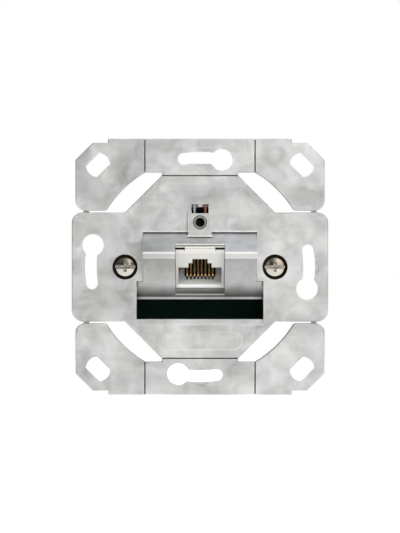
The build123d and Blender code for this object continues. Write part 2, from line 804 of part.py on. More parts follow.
# The jack's moulded housing: a flange with the stepped mouth, and the body behind it
tongue_u = plug_bottom + tongue_rise
contact_xs = [(index - (contact_count - 1) / 2) * contact_pitch for index in range(contact_count)]
with BuildPart() as jack_housing:
    with BuildSketch(jack_plane):
        Rectangle(jack_width, flange_height)
    extrude(amount=-flange_thickness)
    with BuildSketch(jack_plane):
        with Locations((0, -flange_top)):
            Rectangle(2 * body_x, flange_top + body_top, align=(Align.CENTER, Align.MIN))
    extrude(amount=-jack_depth)
    with BuildSketch(jack_plane):
        with Locations((0, plug_bottom)):
            Rectangle(plug_width, plug_height, align=(Align.CENTER, Align.MIN))
            Rectangle(step_width, plug_height + step_height, align=(Align.CENTER, Align.MIN))
            Rectangle(latch_width, plug_height + step_height + latch_height,
                      align=(Align.CENTER, Align.MIN))
    extrude(amount=-plug_depth, mode=Mode.SUBTRACT)
    with BuildSketch(jack_depth_plane(comb_start)):
        with Locations((0, plug_bottom)):
            Rectangle(comb_width + 2 * comb_clearance, 2 * plug_floor)
    extrude(amount=comb_start - jack_depth, mode=Mode.SUBTRACT)
    with BuildSketch(jack_side_plane(0)):
        with Locations((tongue_start - jack_clearance, tongue_u)):
            Rectangle(tongue_length + 2 * jack_clearance, tongue_width + 2 * jack_clearance,
                      align=(Align.MIN, Align.CENTER))
    extrude(amount=body_x, both=True, mode=Mode.SUBTRACT)
    with BuildSketch(jack_depth_plane(wire_slot_start)):
        with Locations(*[(x, plug_bottom) for x in contact_xs]):
            Rectangle(contact_width + 2 * contact_play, 2 * plug_floor)
    extrude(amount=wire_slot_start - comb_start, mode=Mode.SUBTRACT)
    with BuildSketch(jack_side_plane(0)):
        Polygon((0, plug_bottom - mouth_bevel), (0, plug_bottom), (mouth_bevel, plug_bottom), align=None)
    extrude(amount=plug_width / 2, both=True, mode=Mode.SUBTRACT)
    with BuildSketch(jack_side_plane(0)):
        Polygon((0, flange_top - face_bevel_height), (0, flange_top), (face_bevel_depth, flange_top),
                align=None)
        with Locations(((flange_thickness + pocket_lip_setback) / 2, flange_top)):
            Rectangle(flange_groove_width, 2 * flange_groove_depth)
    extrude(amount=jack_width / 2, both=True, mode=Mode.SUBTRACT)

    # Pockets at the flange's top corners; their floors fall away with the line of sight
    shoulder_u = flange_top - shoulder_drop
    for side in (1, -1):
        with BuildSketch(jack_side_plane(side * tab_width / 2)):
            Polygon(
                (0, flange_top),
                (0, shoulder_u),
                (pocket_depth, shoulder_u - pocket_depth * tan(tilt)),
                (pocket_depth, flange_top - pocket_lip_sheet),
                (pocket_lip_setback, flange_top - pocket_lip_sheet),
                (pocket_lip_setback, flange_top),
                align=None,
            )
        extrude(amount=side * (jack_width - tab_width) / 2, mode=Mode.SUBTRACT)
        with BuildSketch(jack_plane):
            with Locations((side * (tab_width + tab_slit_width) / 2, flange_top)):
                Rectangle(tab_slit_width, 2 * tab_slit_drop)
        extrude(amount=-tab_slit_depth, mode=Mode.SUBTRACT)
jack_housing.part.label = "jack_housing"
export_step(jack_housing.part, "parts/jack_housing.step")

# Folded sheet round the jack's body, with a bowed tongue on each side that reaches into the mouth
shield_start = flange_thickness + shield_clearance
tongue_plane = Plane(origin=jack_plane.from_local_coords((0, tongue_u, 0)), x_dir=(1, 0, 0),
                     z_dir=jack_plane.y_dir)
tongue_x = shield_x - shield_sheet / 2
with BuildLine() as tongue_bow:
    ThreePointArc(
        (tongue_x, tongue_start + shield_sheet),
        (tongue_x - tongue_bulge, tongue_start + tongue_length / 2),
        (tongue_x, tongue_start + tongue_length - shield_sheet),
    )
with BuildPart() as jack_shield:
    with BuildSketch(jack_depth_plane(shield_start)):
        with Locations((0, -flange_top + shield_skirt)):
            Rectangle(2 * shield_x, flange_top - shield_skirt + body_top + shield_clearance + shield_sheet,
                      align=(Align.CENTER, Align.MIN))
            Rectangle(2 * (body_x + shield_clearance),
                      flange_top - shield_skirt + body_top + shield_clearance,
                      align=(Align.CENTER, Align.MIN), mode=Mode.SUBTRACT)
    extrude(amount=shield_start - jack_depth - shield_clearance)
    with BuildSketch(jack_depth_plane(jack_depth + shield_clearance)):
        with Locations((0, plug_bottom + shield_back_rise)):
            Rectangle(2 * shield_x,
                      body_top + shield_clearance + shield_sheet - plug_bottom - shield_back_rise,
                      align=(Align.CENTER, Align.MIN))
    extrude(amount=-shield_sheet)
    with BuildSketch(jack_side_plane(0)):
        with Locations((tongue_start + shield_sheet, tongue_u)):
            Rectangle(tongue_length - 2 * shield_sheet, tongue_width + shield_sheet,
                      align=(Align.MIN, Align.CENTER))
    extrude(amount=jack_width, both=True, mode=Mode.SUBTRACT)
    with BuildSketch(tongue_plane):
        SlotArc(tongue_bow.wire(), shield_sheet)
        mirror(about=Plane.YZ)
    extrude(amount=tongue_width / 2, both=True)
jack_shield.part.label = "jack_shield"
export_step(jack_shield.part, "parts/jack_shield.step")

lower_u = plug_bottom - contact_lower_run

# Comb that holds the contacts in the jack's floor, with a slot for each of them
with BuildPart() as contact_comb:
    with BuildSketch(jack_depth_plane(comb_start + comb_clearance)):
        with Locations((0, plug_bottom - comb_drop)):
            Rectangle(comb_width, comb_depth - comb_drop, align=(Align.CENTER, Align.MAX))
    extrude(amount=comb_start + comb_clearance - comb_end)
    with BuildSketch(jack_depth_plane(comb_start)):
        with Locations(*[(x, lower_u - contact_sheet / 2) for x in contact_xs]):
            Rectangle(contact_width + 2 * contact_play, comb_depth, align=(Align.CENTER, Align.MIN))
    extrude(amount=-comb_end, mode=Mode.SUBTRACT)
contact_comb.part.label = "contact_comb"
export_step(contact_comb.part, "parts/contact_comb.step")

# One contact: a tail square to the board, a run forwards under the floor, a bend and the spring
tail_point = jack_plane.from_local_coords((0, lower_u, -contact_tail))
tail_length = board_front - contact_sheet / 2 - tail_point.Y
contact_path = [
    (contact_tail + tail_length * cos(tilt), lower_u - tail_length * sin(tilt)),
    (contact_tail, lower_u),
    (contact_front, lower_u),
    (contact_front, plug_bottom + contact_foot),
    (contact_reach, plug_bottom + contact_rise),
]
with BuildLine() as contact_route:
    Polyline(*contact_path)
    fillet(contact_route.vertices().sort_by_distance(contact_path[3])[0], contact_bend)
for index, x in enumerate(contact_xs):
    with BuildPart() as contact_wire:
        with BuildSketch(jack_side_plane(x)):
            trace(contact_route.line, contact_sheet)
        extrude(amount=contact_width / 2, both=True)
    contact_wire.part.label = f"contact_wire_{index + 1}"
    export_step(contact_wire.part, f"parts/contact_wire_{index + 1}.step")

# Terminal blocks on the back of the board and the terminals that stand in them
slot_zs = [block_z + (index - (block_slot_count - 1) / 2) * block_slot_pitch
           for index in range(block_slot_count)]
for side, name in ((-1, "left"), (1, "right")):
    with BuildPart() as terminal_block:
        with BuildSketch(room_plane(board_back)):
            with Locations((side * block_x, block_z)):
                Rectangle(block_width, block_height)
        extrude(amount=-block_depth)
        with BuildSketch(room_plane(board_back + block_depth)):
            with Locations(*[(side * block_x, z) for z in slot_zs]):
                Rectangle(block_width, block_slot_width)
        extrude(amount=block_slot_depth, mode=Mode.SUBTRACT)
        with BuildSketch(room_plane(board_back)):
            with Locations(*[(side * block_x, z) for z in slot_zs]):
                Rectangle(terminal_sheet + 2 * contact_play, terminal_width + 2 * contact_play)
        extrude(amount=-block_depth, mode=Mode.SUBTRACT)
    terminal_block.part.label = f"terminal_block_{name}"
    export_step(terminal_block.part, f"parts/terminal_block_{name}.step")
    for index, z in enumerate(slot_zs):
        number = index + 1 + (block_slot_count if side > 0 else 0)
        with BuildPart() as terminal:
            with BuildSketch(Plane.YZ.offset(side * block_x - terminal_sheet / 2)):
                with Locations((board_back, z)):
                    Rectangle(terminal_length, terminal_width, align=(Align.MIN, Align.CENTER))
                with Locations((board_back + terminal_length, z)):
                    Rectangle(2 * terminal_mouth_depth, terminal_gap, mode=Mode.SUBTRACT)
                    Polygon((0, terminal_mouth / 2), (-terminal_mouth, 0), (0, -terminal_mouth / 2),
                            align=None, mode=Mode.SUBTRACT)
            extrude(amount=terminal_sheet)
        terminal.part.label = f"terminal_{number}"
        export_step(terminal.part, f"parts/terminal_{number}.step")

# Earth clip: a fork behind the small window, a dimple that meets the frame, and a foot on the tray
clip_front = clip_pocket_depth - clip_clearance - clip_sheet
clip_top = tray_z + clip_clearance + clip_sheet
clip_leg_length = tray_z - clip_bar_height - (peep_bottom - peep_clearance) - clip_leg_gap
with BuildPart() as earth_clip:
    with BuildSketch(room_plane(clip_front)):
        with Locations((0, clip_top)):
            Rectangle(clip_width, clip_top - tray_z + clip_bar_height, align=(Align.CENTER, Align.MAX))
        with Locations((0, tray_z - clip_bar_height)):
            Rectangle(clip_width, clip_leg_length, align=(Align.CENTER, Align.MAX))
            Rectangle(clip_width - 2 * clip_leg_width, clip_leg_length,
                      align=(Align.CENTER, Align.MAX), mode=Mode.SUBTRACT)
    extrude(amount=-clip_sheet)
    with BuildSketch(room_plane(clip_front)):
        with Locations((0, clip_top)):
            Rectangle(clip_width, clip_sheet, align=(Align.CENTER, Align.MAX))
    extrude(amount=-clip_foot)
    with BuildSketch(room_plane(clip_front)):
        with Locations((0, tray_z - clip_dimple_drop)):
            Circle(clip_dimple_radius)
    extrude(amount=clip_dimple_rise)
    extrude(earth_clip.faces().sort_by(Axis.Y)[0], amount=-clip_dimple_rise - clip_sheet)
earth_clip.part.label = "earth_clip"
export_step(earth_clip.part, "parts/earth_clip.step")

# Screws: two hold the housing to the frame, two close the cover, two press the clamp
frame_seat_y = frame_screw_sink_depth - plate_thickness
cover_seat_y = cover_back - cover_screw_head_height
cover_screw_length = cover_seat_y - board_front + cover_screw_grip
clamp_screw_length = cable_y - bay_shelf_y + clamp_screw_grip
for side, name in ((-1, "left"), (1, "right")):
    frame_seat = Plane(origin=(side * frame_screw_x, frame_seat_y, 0), x_dir=(1, 0, 0), z_dir=(0, -1, 0))
    cover_seat = Plane(origin=(side * cover_screw_x, cover_seat_y, cover_screw_z),
                       x_dir=(-1, 0, 0), z_dir=(0, 1, 0))
    clamp_seat = Plane(origin=(side * clamp_screw_x, cable_y, bay_middle),
                       x_dir=(-1, 0, 0), z_dir=(0, 1, 0))
    screws = {
        "frame_screw": make_screw(frame_seat, screw_head_diameter, screw_head_height,
                                  screw_shank_diameter, screw_length),
        "cover_screw": make_screw(cover_seat, cover_screw_head, cover_screw_head_height,
                                  cover_screw_diameter, cover_screw_length),
        "clamp_screw": make_screw(clamp_seat, clamp_screw_head, clamp_screw_head_height,
                                  clamp_screw_diameter, clamp_screw_length),
    }
    for kind, screw in screws.items():
        screw.part.label = f"{kind}_{name}"
        export_step(screw.part, f"parts/{kind}_{name}.step")
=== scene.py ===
import json
import math
import bpy
import numpy as np
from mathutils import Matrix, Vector


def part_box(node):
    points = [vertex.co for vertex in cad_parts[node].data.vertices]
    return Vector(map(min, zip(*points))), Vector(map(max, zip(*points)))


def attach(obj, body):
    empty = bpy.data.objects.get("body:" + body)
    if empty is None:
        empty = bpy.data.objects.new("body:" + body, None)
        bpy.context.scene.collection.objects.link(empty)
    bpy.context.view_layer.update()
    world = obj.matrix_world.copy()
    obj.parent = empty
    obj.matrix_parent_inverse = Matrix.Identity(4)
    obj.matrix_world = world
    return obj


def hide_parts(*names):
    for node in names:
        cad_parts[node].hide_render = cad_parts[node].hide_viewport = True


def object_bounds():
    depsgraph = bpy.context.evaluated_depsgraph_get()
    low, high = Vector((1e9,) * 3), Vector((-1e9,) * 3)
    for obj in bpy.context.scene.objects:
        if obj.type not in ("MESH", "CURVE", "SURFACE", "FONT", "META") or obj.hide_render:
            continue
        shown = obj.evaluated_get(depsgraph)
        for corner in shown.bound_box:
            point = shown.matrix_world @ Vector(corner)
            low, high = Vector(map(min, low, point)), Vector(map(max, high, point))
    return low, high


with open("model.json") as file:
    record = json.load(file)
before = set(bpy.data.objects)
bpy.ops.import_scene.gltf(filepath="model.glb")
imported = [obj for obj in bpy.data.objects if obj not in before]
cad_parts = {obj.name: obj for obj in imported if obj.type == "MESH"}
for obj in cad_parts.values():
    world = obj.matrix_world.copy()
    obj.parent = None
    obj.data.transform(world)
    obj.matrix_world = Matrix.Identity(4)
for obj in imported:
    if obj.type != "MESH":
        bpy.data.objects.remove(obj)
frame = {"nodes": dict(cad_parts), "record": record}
nodes = frame["nodes"]
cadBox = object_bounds()
mm = 0.001


# Shader groups shared by the materials

groupForm = {
    # castSkin: noise scales are per metre, tintFrom is where the second tone sets in, and shares are added
    "patchDetail": 3.0, "patchDistortion": 0.6, "wideScale": 75.0, "wideDetail": 1.0,
    "tintScale": 110.0, "tintDistortion": 0.4, "tintFrom": 0.38, "tintGain": 4.0,
    "streakStretch": (0.5, 1.0, 3.0), "streakShare": 0.3, "roughShare": 0.4, "patchHeight": 0.5,
    # the edge wear with its painted edge highlight, and brushedLines
    "chipScale": 900.0, "lineStretch": (6.0, 1.0, 0.6),
    # the detail of all other noise, and the samples of the bevel and occlusion nodes
    "fineDetail": 2.0, "samples": 6,
}


def newGroup(name, inputs, outputs):
    group = bpy.data.node_groups.new(name, "ShaderNodeTree")
    for label, value in inputs.items():
        socket = group.interface.new_socket(name=label, in_out="INPUT", socket_type="NodeSocketFloat")
        socket.default_value = value
    for label in outputs:
        group.interface.new_socket(name=label, in_out="OUTPUT", socket_type="NodeSocketFloat")
    return group, group.nodes.new("NodeGroupInput"), group.nodes.new("NodeGroupOutput")


def addMath(tree, operation, first, second=None, clamp=False):
    node = tree.nodes.new("ShaderNodeMath")
    node.operation = operation
    node.use_clamp = clamp
    for socket, value in zip(node.inputs, (first, second)):
        if isinstance(value, (int, float)):
            socket.default_value = value
        elif value is not None:
            tree.links.new(value, socket)
    return node.outputs[0]


def total(tree, first, *others):
    for other in others:
        first = addMath(tree, "ADD", first, other)
    return first


def product(tree, first, *others):
    for other in others:
        first = addMath(tree, "MULTIPLY", first, other)
    return first


def objectPlace(tree):
    return tree.nodes.new("ShaderNodeTexCoord").outputs["Object"]


def splitVector(tree, vector):
    split = tree.nodes.new("ShaderNodeSeparateXYZ")
    tree.links.new(vector, split.inputs[0])
    return split.outputs


def addNoise(tree, vector, scale, detail, stretch=None, distortion=0.0):
    if stretch is not None:
        mapping = tree.nodes.new("ShaderNodeMapping")
        mapping.inputs["Scale"].default_value = stretch
        tree.links.new(vector, mapping.inputs["Vector"])
        vector = mapping.outputs[0]
    noise = tree.nodes.new("ShaderNodeTexNoise")
    noise.inputs["Detail"].default_value = detail
    noise.inputs["Distortion"].default_value = distortion
    tree.links.new(vector, noise.inputs["Vector"])
    if isinstance(scale, (int, float)):
        noise.inputs["Scale"].default_value = scale
    else:
        tree.links.new(scale, noise.inputs["Scale"])
    return noise.outputs["Fac"]


def centred(tree, value):
    # Noise runs from 0 to 1 about 0.5
    return addMath(tree, "SUBTRACT", value, 0.5)


def leanFrom(tree, normal, other):
    # 1 - normal . other, where other is a normal or a fixed direction
    dot = tree.nodes.new("ShaderNodeVectorMath")
    dot.operation = "DOT_PRODUCT"
    tree.links.new(normal, dot.inputs[0])
    if isinstance(other, tuple):
        dot.inputs[1].default_value = other
    else:
        tree.links.new(other, dot.inputs[1])
    return addMath(tree, "SUBTRACT", 1.0, dot.outputs["Value"])


def makeCastSkin(values):
    # Tone = 1 + Patch * (patches + wide clouds + streaks) + Grain * grain. Tint is where the second tone
    # shows, Rough is added to the roughness, and Height is the grain with low swells.
    group, given, result = newGroup(
        "castSkin",
        {"Patch Scale": 220.0, "Grain Scale": 2600.0, "Patch": 0.12, "Grain": 0.08},
        ("Tone", "Rough", "Height", "Tint"),
    )
    place, fineDetail = objectPlace(group), values["fineDetail"]
    patchScale, grainScale = given.outputs["Patch Scale"], given.outputs["Grain Scale"]
    patches = addNoise(group, place, patchScale, values["patchDetail"], distortion=values["patchDistortion"])
    patches = centred(group, patches)
    wide = centred(group, addNoise(group, place, values["wideScale"], values["wideDetail"]))
    streaks = centred(group, addNoise(group, place, patchScale, fineDetail, values["streakStretch"]))
    grain = centred(group, addNoise(group, place, grainScale, fineDetail))
    tint = addNoise(group, place, values["tintScale"], fineDetail, distortion=values["tintDistortion"])
    tint = addMath(group, "SUBTRACT", tint, values["tintFrom"])
    tint = addMath(group, "MULTIPLY", tint, values["tintGain"], clamp=True)
    broad = total(group, patches, wide, product(group, streaks, values["streakShare"]))
    broad = product(group, broad, given.outputs["Patch"])
    fine = product(group, grain, given.outputs["Grain"])
    rough = product(group, total(group, patches, grain), values["roughShare"])
    height = total(group, grain, product(group, patches, values["patchHeight"]))
    group.links.new(total(group, broad, fine, 1.0), result.inputs["Tone"])
    group.links.new(rough, result.inputs["Rough"])
    group.links.new(height, result.inputs["Height"])
    group.links.new(tint, result.inputs["Tint"])
    return group


def makeEdgeWearAndHighlight(values):
    # Worn edges, lighter also as a painted edge highlight. Mask = Amount * (Gain * how far a rounded normal leans
    # away from the true one, less some chips)
    group, given, result = newGroup(
        "edgeWearAndHighlight", {"Radius": 0.0003, "Amount": 1.0, "Gain": 14.0, "Break": 0.3}, ("Mask",))
    bevel = group.nodes.new("ShaderNodeBevel")
    bevel.samples = values["samples"]
    group.links.new(given.outputs["Radius"], bevel.inputs["Radius"])
    geometry = group.nodes.new("ShaderNodeNewGeometry")
    lean = leanFrom(group, bevel.outputs["Normal"], geometry.outputs["Normal"])
    lean = addMath(group, "MULTIPLY", lean, given.outputs["Gain"], clamp=True)
    chips = addNoise(group, objectPlace(group), values["chipScale"], values["fineDetail"])
    chips = product(group, chips, given.outputs["Break"])
    kept = addMath(group, "SUBTRACT", lean, chips, clamp=True)
    group.links.new(product(group, kept, given.outputs["Amount"]), result.inputs["Mask"])
    return group


def makeCornerShade(values):
    # Painted shade in close corners and deep openings. Mask = Amount * how far the closing in of a point has come
    # from Start to Full
    group, given, result = newGroup(
        "cornerShade", {"Reach": 0.002, "Amount": 0.5, "Start": 0.5, "Full": 0.8}, ("Mask",))
    shade = group.nodes.new("ShaderNodeAmbientOcclusion")
    shade.samples = values["samples"]
    group.links.new(given.outputs["Reach"], shade.inputs["Distance"])
    closed = addMath(group, "SUBTRACT", 1.0, shade.outputs["AO"], clamp=True)
    span = addMath(group, "SUBTRACT", given.outputs["Full"], given.outputs["Start"])
    come = addMath(group, "SUBTRACT", closed, given.outputs["Start"])
    come = addMath(group, "DIVIDE", come, span, clamp=True)
    group.links.new(product(group, come, given.outputs["Amount"]), result.inputs["Mask"])
    return group


def makeBrushedLines(values):
    # Tone and Height of fine lines drawn out along the sheet
    group, given, result = newGroup("brushedLines", {"Scale": 500.0, "Amount": 0.1}, ("Tone", "Height"))
    scale, detail = given.outputs["Scale"], values["fineDetail"]
    lines = centred(group, addNoise(group, objectPlace(group), scale, detail, values["lineStretch"]))
    tone = product(group, lines, given.outputs["Amount"])
    group.links.new(total(group, tone, 1.0), result.inputs["Tone"])
    group.links.new(lines, result.inputs["Height"])
    return group


castSkin = makeCastSkin(groupForm)
edgeWearAndHighlight = makeEdgeWearAndHighlight(groupForm)
cornerShade = makeCornerShade(groupForm)
brushedLines = makeBrushedLines(groupForm)
print("shader groups ready")


# Materials

shaderBase = {"ior": 1.45, "specular": 0.5, "scatterDepth": 1.0 * mm}


def mixColour(tree, factor, first, second, blend="MIX"):
    mix = tree.nodes.new("ShaderNodeMix")
    mix.data_type = "RGBA"
    mix.blend_type = blend
    for socket, value in ((mix.inputs["Factor"], factor), (mix.inputs[6], first), (mix.inputs[7], second)):
        if isinstance(value, (tuple, int, float)):
            socket.default_value = (*value, 1.0) if isinstance(value, tuple) else value
        else:
            tree.links.new(value, socket)
    return mix.outputs[2]


def greyOf(tree, value):
    node = tree.nodes.new("ShaderNodeCombineColor")
    for socket in node.inputs:
        tree.links.new(value, socket)
    return node.outputs[0]


def timesTone(tree, colour, tone):
    return mixColour(tree, 1.0, colour, greyOf(tree, tone), "MULTIPLY")


def placeGroup(tree, group, **values):
    node = tree.nodes.new("ShaderNodeGroup")
    node.node_tree = group
    for label, value in values.items():
        node.inputs[label.replace("_", " ")].default_value = value
    return node.outputs


def placeSkin(tree, values):
    return placeGroup(tree, castSkin, Patch_Scale=values["patchScale"], Patch=values["patch"],
                      Grain_Scale=values["grainScale"], Grain=values["grain"])


def placeLines(tree, values):
    return placeGroup(tree, brushedLines, Scale=values["lineScale"], Amount=values["lines"])


def wearAndHighlightMask(tree, values):
    # Worn edges, lighter also as a painted edge highlight
    return placeGroup(tree, edgeWearAndHighlight, Radius=values["edge"], Amount=values["wearAndHighlight"])["Mask"]


def closedMask(tree, values, kind):
    # kind picks the keys of the painted shade: those for close corners, or cavity, for deep openings
    return placeGroup(tree, cornerShade, Reach=values[f"{kind}Reach"], Amount=values[kind],
                      Start=values[f"{kind}Start"], Full=values[f"{kind}Full"])["Mask"]


def startMaterial(name, values):
    material = bpy.data.materials.new(name)
    material.use_nodes = True
    tree = material.node_tree
    shader = next(node for node in tree.nodes if node.type == "BSDF_PRINCIPLED")
    for label, value in (
        ("Metallic", values.get("metallic", 0.0)),
        ("Roughness", values["roughness"]),
        ("IOR", shaderBase["ior"]),
        ("Specular IOR Level", values.get("specular", shaderBase["specular"])),
        ("Subsurface Weight", values.get("scatter", 0.0)),
        ("Subsurface Scale", shaderBase["scatterDepth"]),
    ):
        shader.inputs[label].default_value = value
    return material, tree, shader


def finishMaterial(tree, shader, values, colour, height):
    tree.links.new(colour, shader.inputs["Base Color"])
    bump = tree.nodes.new("ShaderNodeBump")
    bump.inputs["Strength"].default_value = values["bump"]
    bump.inputs["Distance"].default_value = values["bumpDepth"]
    tree.links.new(height, bump.inputs["Height"])
    tree.links.new(bump.outputs["Normal"], shader.inputs["Normal"])


def facing(tree, direction, spread):
    # 1 where the surface faces the direction, falling to 0 at the spread
    geometry = tree.nodes.new("ShaderNodeNewGeometry")
    away = leanFrom(tree, geometry.outputs["True Normal"], direction)
    return addMath(tree, "SUBTRACT", 1.0, addMath(tree, "DIVIDE", away, spread), clamp=True)


def between(tree, value, low, high):
    # Goes from 0 at low to 1 at high, and stays there
    come = addMath(tree, "SUBTRACT", value, low)
    return addMath(tree, "DIVIDE", come, high - low, clamp=True)


def band(tree, value, low, high, soft):
    # 1 from low to high, with soft ends
    rise = between(tree, value, low - soft, low)
    fall = between(tree, value, high + soft, high)
    return product(tree, rise, fall)


def ringMask(tree, ring):
    # Painted shade in a sunk screw hole: within the radius of its axis, and between two depths
    place = splitVector(tree, objectPlace(tree))
    aside = addMath(tree, "SUBTRACT", addMath(tree, "ABSOLUTE", place["X"]), ring["x"])
    above = addMath(tree, "SUBTRACT", place["Z"], ring["z"])
    square = total(tree, product(tree, aside, aside), product(tree, above, above))
    near = addMath(tree, "LESS_THAN", addMath(tree, "SQRT", square), ring["radius"])
    deep = band(tree, place["Y"], ring["from"], ring["to"], ring["soft"])
    return product(tree, near, ring["amount"], deep)


def hoodTones(tree, colour, values):
    # The ridge gets a painted highlight, with a painted bright line on it and a painted light band under it,
    # and painted shade darkens the slopes upwards, downwards and on the lip. All but the ridge are bands of
    # height.
    place = splitVector(tree, objectPlace(tree))
    height, dark, soft = place["Z"], values["paintedShadeColour"], values["bandSoft"]
    ridge = facing(tree, values["ridgeNormal"], values["ridgeSpread"])
    colour = mixColour(tree, ridge, colour, values["ridgeColour"])
    colour = mixColour(tree, band(tree, height, *values["ridgeLine"], soft), colour, values["lineColour"])
    aboveLip = addMath(tree, "GREATER_THAN", height, values["lipFrom"])
    low = product(tree, between(tree, height, *values["lowShade"]), values["lowAmount"], aboveLip)
    colour = mixColour(tree, low, colour, dark)
    lip = product(tree, band(tree, height, *values["lipShade"], values["lipSoft"]), values["lipAmount"])
    colour = mixColour(tree, lip, colour, dark)
    front = addMath(tree, "LESS_THAN", place["Y"], values["bandBefore"])
    light = product(tree, band(tree, height, *values["bandLight"], soft), front, values["bandAmount"])
    colour = mixColour(tree, light, colour, values["bandColour"])
    below = addMath(tree, "LESS_THAN", height, values["highShade"][1])
    high = product(tree, between(tree, height, *values["highShade"]), values["highAmount"], below)
    return mixColour(tree, high, colour, dark)


def jackTones(tree, colour, values):
    # Painted shade: a dark line along a seam across the face, and the pockets at its top corners and the slits
    # beside the tab painted dark; and bands of tone, painted shade over the top strip and painted light on the
    # mouth's lower lip
    place = splitVector(tree, objectPlace(tree))
    height, soft = place["Z"], values["seamSoft"]
    aside = addMath(tree, "ABSOLUTE", place["X"])
    front = addMath(tree, "LESS_THAN", place["Y"], values["seamBefore"])
    middle = addMath(tree, "LESS_THAN", aside, values["seamHalf"])
    seam = product(tree, band(tree, height, *values["seam"], soft), front, middle, values["seamAmount"])
    colour = mixColour(tree, seam, colour, values["cavityColour"])
    for low, high, near, far in values["pockets"]:
        hollow = product(tree, band(tree, height, low, high, soft), band(tree, aside, near, far, soft))
        colour = mixColour(tree, hollow, colour, values["pocketColour"])
    for low, high, fade, amount, tone in values["tones"]:
        shade = product(tree, band(tree, height, low, high, fade), amount)
        colour = mixColour(tree, shade, colour, tone)
    return colour


def castMaterial(name, values):
    material, tree, shader = startMaterial(name, values)
    skin = placeSkin(tree, values)
    tinted = mixColour(tree, skin["Tint"], values["colour"], values["secondColour"])
    toned = timesTone(tree, tinted, skin["Tone"])
    # Painted shade in close corners
    cornerShaded = mixColour(tree, closedMask(tree, values, "paintedShade"), toned, values["paintedShadeColour"])
    # Worn edges that are also a painted edge highlight
    wornAndHighlit = mixColour(tree, wearAndHighlightMask(tree, values), cornerShaded, values["edgeColour"])
    if "ridgeNormal" in values:
        wornAndHighlit = hoodTones(tree, wornAndHighlit, values)
    # Painted shade in the sunk screw holes
    for ring in values["rings"]:
        wornAndHighlit = mixColour(tree, ringMask(tree, ring), wornAndHighlit, values["ringShadeColour"])
    rough = addMath(tree, "ADD", skin["Rough"], values["roughness"], clamp=True)
    tree.links.new(rough, shader.inputs["Roughness"])
    finishMaterial(tree, shader, values, wornAndHighlit, skin["Height"])
    return material


def mouldedMaterial(name, values):
    material, tree, shader = startMaterial(name, values)
    skin = placeSkin(tree, values)
    toned = timesTone(tree, values["colour"], skin["Tone"])
    # Worn edges that are also a painted edge highlight
    wornAndHighlit = mixColour(tree, wearAndHighlightMask(tree, values), toned, values["edgeColour"])
    # Painted shade deep in openings
    shaded = mixColour(tree, closedMask(tree, values, "cavity"), wornAndHighlit, values["cavityColour"])
    # Painted shade in close corners
    cornerShaded = mixColour(tree, closedMask(tree, values, "paintedShade"), shaded, values["paintedShadeColour"])
    if "seam" in values:
        cornerShaded = jackTones(tree, cornerShaded, values)
    finishMaterial(tree, shader, values, cornerShaded, skin["Height"])
    return material


def sheetMaterial(name, values):
    material, tree, shader = startMaterial(name, values)
    lines = placeLines(tree, values)
    toned = timesTone(tree, values["colour"], lines["Tone"])
    # Worn edges that are also a painted edge highlight
    wornAndHighlit = mixColour(tree, wearAndHighlightMask(tree, values), toned, values["edgeColour"])
    if "upperFrom" in values:
        # A painted reflection, dark brown, on the upper half of the front screws' domes, where they face up
        place = splitVector(tree, objectPlace(tree))
        above = between(tree, place["Z"], *values["upperFrom"])
        before = addMath(tree, "LESS_THAN", place["Y"], values["upperBefore"])
        paintedReflection = product(tree, above, before, values["upperAmount"])
        wornAndHighlit = mixColour(tree, paintedReflection, wornAndHighlit, values["upperColour"])
    # Painted shade in close corners
    cornerShaded = mixColour(tree, closedMask(tree, values, "paintedShade"), wornAndHighlit, values["paintedShadeColour"])
    finishMaterial(tree, shader, values, cornerShaded, lines["Height"])
    return material


def clipMaterial(name, values):
    # A dull tinned fork: painted dark as shade in its middle, a painted highlight on its front, copper on its
    # right leg
    material, tree, shader = startMaterial(name, values)
    lines = placeLines(tree, values)
    place = splitVector(tree, objectPlace(tree))
    across = between(tree, place["X"], *values["copperAcross"])
    sheet = mixColour(tree, across, values["colour"], values["copperColour"])
    # Painted shade in the middle
    middle = addMath(tree, "LESS_THAN", addMath(tree, "ABSOLUTE", place["X"]), values["darkHalf"])
    sheet = mixColour(tree, middle, sheet, values["darkColour"])
    # A painted highlight on the front
    paintedLight = addMath(tree, "LESS_THAN", place["Y"], values["paintedLightBefore"])
    sheet = mixColour(tree, paintedLight, sheet, values["paintedLightColour"])
    toned = timesTone(tree, sheet, lines["Tone"])
    # Painted shade in close corners
    cornerShaded = mixColour(tree, closedMask(tree, values, "paintedShade"), toned, values["paintedShadeColour"])
    finishMaterial(tree, shader, values, cornerShaded, lines["Height"])
    return material


# Lengths in the materials are metres, and noise scales are per metre
castZinc = {
    "colour": (0.60, 0.605, 0.575), "secondColour": (0.60, 0.60, 0.605),
    # Lighter edges are wear and a painted edge highlight, and the dark tone is painted shade in close corners
    "edgeColour": (0.86, 0.86, 0.85), "paintedShadeColour": (0.10, 0.095, 0.085),
    "metallic": 1.0, "roughness": 0.46, "bump": 0.3, "bumpDepth": 0.00002,
    "patchScale": 230.0, "patch": 0.75, "grainScale": 2400.0, "grain": 0.10,
    "edge": 0.0003, "wearAndHighlight": 0.75,
    "paintedShadeReach": 0.002, "paintedShade": 0.97, "paintedShadeStart": 0.55, "paintedShadeFull": 0.82,
    # Painted shade in the sunk holes of the front screws and in the cover hole's groove
    "rings": (
        {"x": 0.02055, "z": 0.0, "radius": 0.0035, "from": -0.0014, "to": 0.00042, "soft": 0.0003, "amount": 1.0},
        {"x": 0.0, "z": 0.0122, "radius": 0.00198, "from": -0.0027, "to": -0.00215, "soft": 0.0002, "amount": 0.6},
    ),
    "ringShadeColour": (0.03, 0.024, 0.018),
}
